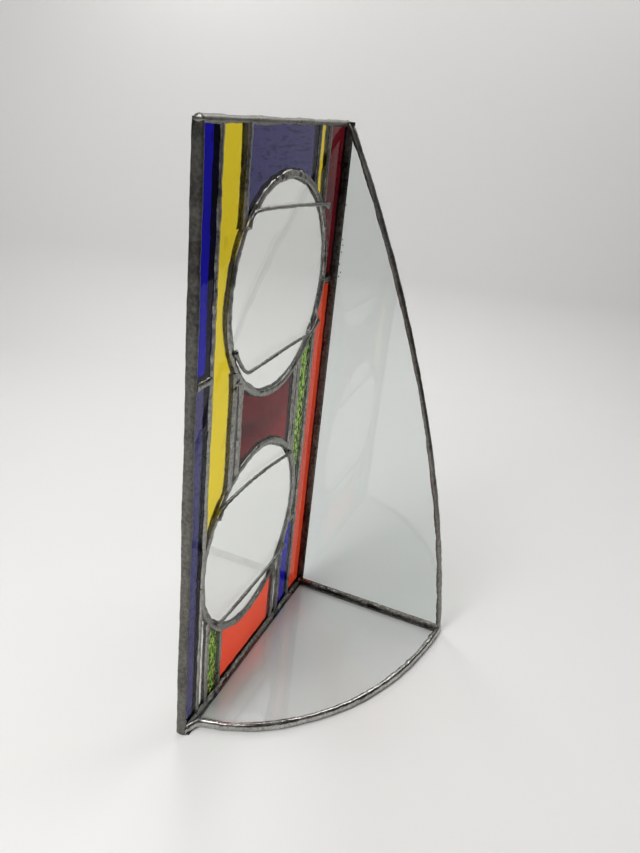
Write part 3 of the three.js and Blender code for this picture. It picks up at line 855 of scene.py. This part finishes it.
# The left bead is squarer, and thicker behind the glass's middle.
outline, give = clasp(1.3, 1.3, 0.75, 0.55)
outline = [(-a, n if g < 1 or n > -GLASS / 2 else n * 1.3 + 0.45) for (a, n), g in zip(outline, give)]
route = stations((left_edge, front_face, bottom_edge - 0.6), (left_edge, front_face, top_edge - 0.2))
cast(
    "bead_left_edge",
    ["solder_edge_left"],
    route,
    PANEL_OUT,
    outline,
    give,
    [(0.16, 45.0), (0.07, 9.0), (0.03, 2.4)],
    301,
    material=left_solder_painted_shade,
)
outline, give = clasp(2.1, 1.0, 0.95, 0.8)
route = stations((left_edge + 0.2, front_face, top_edge), (right_edge + 0.6, front_face, top_edge))
top_bead = cast(
    "bead_top_edge",
    ["solder_edge_top"],
    route,
    PANEL_OUT,
    [(-a, n) for a, n in outline],
    give,
    [(0.2, 30.0), (0.09, 9.0), (0.03, 2.4)],
    302,
    material=edge_solder_painted_shade,
)
middle = front_face + GLASS / 2
drops(top_bead, 601, ((left_edge + 0.2, middle, top_edge - 0.7), (1.7, 2.6, 1.7), 0))


def bow(node, axes):
    """The curved edge of a CAD pane, given the two axes of its plane: every outline point but the
    square corner, in order."""
    points = np.array([v.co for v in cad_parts[node].data.vertices]) / MM
    flat = np.unique(np.round(points[:, axes], 3), axis=0)
    corner = flat.max(0) if axes == [0, 1] else np.array([flat[:, 0].max(), flat[:, 1].min()])
    keep = flat[np.linalg.norm(flat - corner, axis=1) > 0.5]
    return keep[np.argsort(keep[:, 0])]


wing_low, wing_high = box_mm("glass_wing")
base_low, base_high = box_mm("glass_base")
wing_bow = bow("glass_wing", [1, 2])
wing_points = [(wing_low[0], front_face + 1.2, top_edge + 0.2)]
wing_points += [(wing_low[0], y, z) for y, z in wing_bow[::-1]]
wing_points += [(wing_low[0], wing_bow[0][0] - 0.1, bottom_edge + 0.4)]
outline, give = clasp(1.8, 1.1, 0.7, 1.0)
cast(
    "bead_wing_edge",
    ["solder_edge_wing"],
    smoothed(wing_points, 4.0),
    (-1.0, 0.0, 0.0),
    [(-a, n) for a, n in outline],
    give,
    [(0.12, 18.0), (0.08, 5.0), (0.04, 1.8)],
    303,
    material=edge_solder_painted_shade,
)
# A lighter, glossier copy of the same solder for the base edge: its lighter colour is painted light, a
# highlight spread along the bead.
base_solder_painted_light = solder_finish(
    "tin_lead_solder_base_painted_light", colour("#85837e"), colour("#cbc9c4"), (0.1, 0.32), 0.06
)
base_bow = bow("glass_base", [0, 1])
base_points = [
    (left_edge - 0.4, front_face - 0.2, base_high[2]),
    (left_edge + 4.0, front_face - 1.8, base_high[2]),
    (left_edge + 8.2, front_face - 4.0, base_high[2]),
]
base_points += [(x, y, base_high[2]) for x, y in base_bow if x > left_edge + 10.0]
base_points += [(wing_high[0] - 1.4, base_bow[-1][1] - 0.4, base_high[2])]
outline, give = clasp(2.1, 1.3, 1.0, 0.9)
cast(
    "bead_base_edge",
    ["solder_edge_base"],
    smoothed(base_points, 4.0),
    (0.0, 0.0, 1.0),
    outline,
    give,
    [(0.14, 20.0), (0.1, 6.0), (0.04, 2.0)],
    304,
    material=base_solder_painted_light,
)

# ---- Solder: the three corner joints ---------------------------------------------------------
# The wing and the base are tacked to the panel and to each other, then the corners are filled:
# a hollow fillet inside, a rounded bead outside, and foil wrapped round each hidden edge.

# The darkest copy of the same solder, for the three corner joints: its darker colour is painted shade,
# where the corners shade each other.
corner_solder_painted_shade = solder_finish(
    "tin_lead_solder_corner_painted_shade", colour("#3b3936"), colour("#74726d"), (0.22, 0.5), 0.12
)


def joint(name, node, start, end, out, outline, seed, bumps):
    """A corner joint. outline holds (across, out, give)."""
    section = [(a, n) for a, n, _ in outline]
    give = [g for _, _, g in outline]
    route = stations(start, end)
    return cast(name, [node], route, out, section, give, bumps, seed, material=corner_solder_painted_shade)


EDGE = panel_high[0] - wing_low[0]  # from the wing's inner face to the panel's edge
OUTER = wing_high[0] - wing_low[0]
REAR = front_face - wing_high[1]  # gap behind the wing's rear edge
# Panel to wing, drawn as (towards the wing, forward of the panel's front face).
wing_joint = [
    (-0.4, -SINK, 0),
    (-0.4, 0.5, 1),
    (-0.36, 1.4, 1),
    (-0.32, 2.4, 1),
    (-0.24, 3.2, 1),
    (SINK, 3.6, 0),
    (SINK, REAR + SINK, 0),
    (OUTER - SINK, REAR + SINK, 0),
    (OUTER - SINK, 3.2, 0),
    (OUTER + 0.6, 2.8, 1),
    (OUTER + 1.0, 1.8, 1),
    (OUTER + 1.2, 0.4, 1),
    (OUTER + 1.2, -1.5, 1),
    (OUTER + 1.0, -2.6, 1),
    (OUTER + 0.4, -3.4, 1),
    (OUTER - 0.8, -3.6, 1),
    (OUTER - 1.8, -3.5, 1),
    (EDGE, -3.3, 1),
    (EDGE - 0.5, SINK - GLASS, 0),
    (EDGE - SINK, SINK - GLASS, 0),
    (EDGE - SINK, -SINK, 0),
]
wing_corner = joint(
    "corner_panel_wing",
    "solder_corner_wing",
    (wing_low[0], front_face, bottom_edge - 0.9),
    (wing_low[0], front_face, top_edge + 0.4),
    PANEL_OUT,
    wing_joint,
    401,
    [(0.05, 8.0), (0.06, 2.6), (0.04, 1.3)],
)
specks = [(4.6, 222), (5.4, 224.5), (4.3, 229), (4.7, 236), (5.1, 240), (4.4, 243), (4.2, 262)]
drops(
    wing_corner,
    611,
    *[((wing_low[0] - 0.1, front_face - y, z), (0.2, 0.35, 0.5), 0) for y, z in specks],
)
# Panel to base, drawn as (up from the base's top face, forward of the panel's front face).
DEEP = base_high[2] - base_low[2]
SOLE = base_high[2]
base_joint = [
    (0.9, -SINK, 0.8),
    (0.8, 0.4, 1),
    (0.6, 0.8, 1),
    (0.4, 1.3, 1),
    (0.2, 1.8, 1),
    (-SINK, 2.2, 0),
    (-SINK, REAR + SINK, 0),
    (SINK - DEEP, REAR + SINK, 0),
    (SINK - DEEP, 2.2, 0),
    (-DEEP - 0.3, 2.0, 0),
    (-SOLE + 0.05, 2.6, 0),
    (-SOLE + 0.05, -2.6, 0),
    (-SOLE + 0.6, -3.8, 0.6),
    (-SOLE + 2.0, -4.2, 1),
    (-0.9, -4.0, 1),
    (0.2, -3.8, 1),
    (0.9, -3.5, 1),
    (1.3, SINK - GLASS, 0),
    (bottom_edge - SOLE + SINK, SINK - GLASS, 0),
    (bottom_edge - SOLE + SINK, -SINK, 0),
]
joint(
    "corner_panel_base",
    "solder_corner_base",
    (wing_low[0] + 0.5, front_face, SOLE),
    (left_edge + 0.5, front_face, SOLE),
    PANEL_OUT,
    base_joint,
    402,
    [(0.1, 8.0), (0.08, 3.0), (0.04, 1.5)],
)
# Wing to base, drawn as (up from the base's top face, in from the wing's inner face).
SIDE_GAP = wing_low[0] - base_high[0]
foot_joint = [
    (2.8, -SINK, 0.8),
    (2.2, 0.7, 1),
    (1.5, 1.4, 1),
    (0.8, 2.0, 1),
    (-SINK, 2.4, 0),
    (-SINK, SIDE_GAP + SINK, 0),
    (SINK - DEEP, SIDE_GAP + SINK, 0),
    (SINK - DEEP, 2.8, 0),
    (-DEEP - 0.3, 2.5, 0),
    (-SOLE + 0.05, 2.0, 0),
    (-SOLE + 0.05, -3.2, 0),
    (-SOLE + 0.8, -4.1, 0.6),
    (-SOLE + 2.2, -4.2, 1),
    (-0.4, -3.6, 1),
    (0.0, SINK - GLASS, 0),
    (bottom_edge - SOLE + SINK, SINK - GLASS, 0),
    (bottom_edge - SOLE + SINK, -SINK, 0),
]
joint(
    "corner_wing_base",
    "solder_corner_foot",
    (wing_low[0], base_low[1] + 0.6, SOLE),
    (wing_low[0], wing_high[1] + 0.6, SOLE),
    (-1.0, 0.0, 0.0),
    foot_joint,
    403,
    [(0.08, 8.0), (0.07, 3.0), (0.03, 1.5)],
)

# ---- Wires across the windows ----------------------------------------------------------------
# Tinned copper wire, a little under 2 mm thick, bent by hand. Each lies just in front of its window
# and is fixed at both ends by a blob of solder that ran along it.
wire_finish = solder_finish(
    "tinned_copper_wire", colour("#7a7872"), colour("#a6a49e"), (0.25, 0.4), 0.05
)
ROUND = np.linspace(0, 2 * math.pi, 12, endpoint=False)
WIRE_BUMPS = [(0.1, 6.0), (0.07, 2.2)]
WIRE_GAP = 0.7  # from the glass to the wire


def wire(name, node, disc, points, radius, blobs, seed):
    """A bent wire with round tips. points are (right of, above) the window's middle. blobs holds (place
    from 0 to 1, length, extra half width, extra height) of solder on it."""
    low, high = box_mm(disc)
    centre = (low + high) / 2
    lift = front_face - WIRE_GAP - radius
    route = smoothed([(centre[0] + x, lift, centre[2] + z) for x, z in points], 3.0)
    gone = np.linspace(0, 1, len(route))
    length = STEP * len(route)
    wide = np.full(len(route), radius)
    tall = np.full(len(route), radius)
    for at, reach, extra, more in blobs:
        near = np.exp(-(((gone - at) * length / reach) ** 2))
        wide += extra * near
        tall += more * near
    tips = np.minimum(1, np.sqrt(np.minimum(gone, 1 - gone) * length / 1.2) + 0.25)
    rows = np.stack([np.outer(wide * tips, np.cos(ROUND)), np.outer(tall * tips, np.sin(ROUND))], -1)
    cast(
        name,
        [node],
        route,
        PANEL_OUT,
        rows,
        np.ones(len(ROUND)),
        WIRE_BUMPS,
        seed,
        material=wire_finish,
    )


wire(
    "wire_upper_window_top",
    "wire_upper_top",
    "disc_upper",
    [
        (-44.2, 33.4),
        (-42.6, 37.2),
        (-39, 40),
        (-32, 40.8),
        (6, 39.4),
        (42, 37),
        (48, 35.6),
    ],
    0.9,
    [(0.0, 5, 1.3, 0.5), (1.0, 3, 1.2, 0.2)],
    501,
)
wire(
    "wire_upper_window_low",
    "wire_upper_bottom",
    "disc_upper",
    [
        (-50.0, -19.5),
        (-45.0, -26),
        (-40.0, -31.6),
        (-35.5, -34.2),
        (-26, -34.2),
        (8, -33),
        (38, -33),
        (49.5, -27.5),
    ],
    0.9,
    [(0.0, 4, 1.0, 0.3), (1.0, 4, 1.8, 0.5)],
    502,
)
wire(
    "wire_lower_window_top",
    "wire_lower_top",
    "disc_lower",
    [
        (-44.5, 33),
        (-41, 36.4),
        (-36, 38.6),
        (-14, 39.2),
        (10, 38),
        (33, 35),
        (40.8, 34),
    ],
    0.95,
    [(0.0, 5, 1.4, 0.4), (1.0, 3, 1.0, 0.2)],
    503,
)
wire(
    "wire_lower_window_low",
    "wire_lower_bottom",
    "disc_lower",
    [
        (-39.6, -35),
        (-34.2, -36.4),
        (-8.2, -36.9),
        (23.8, -36.5),
        (37.8, -35.5),
        (43.8, -31.5),
    ],
    0.95,
    [(0.0, 3, 0.9, 0.3), (1.0, 4, 1.5, 0.5)],
    504,
)
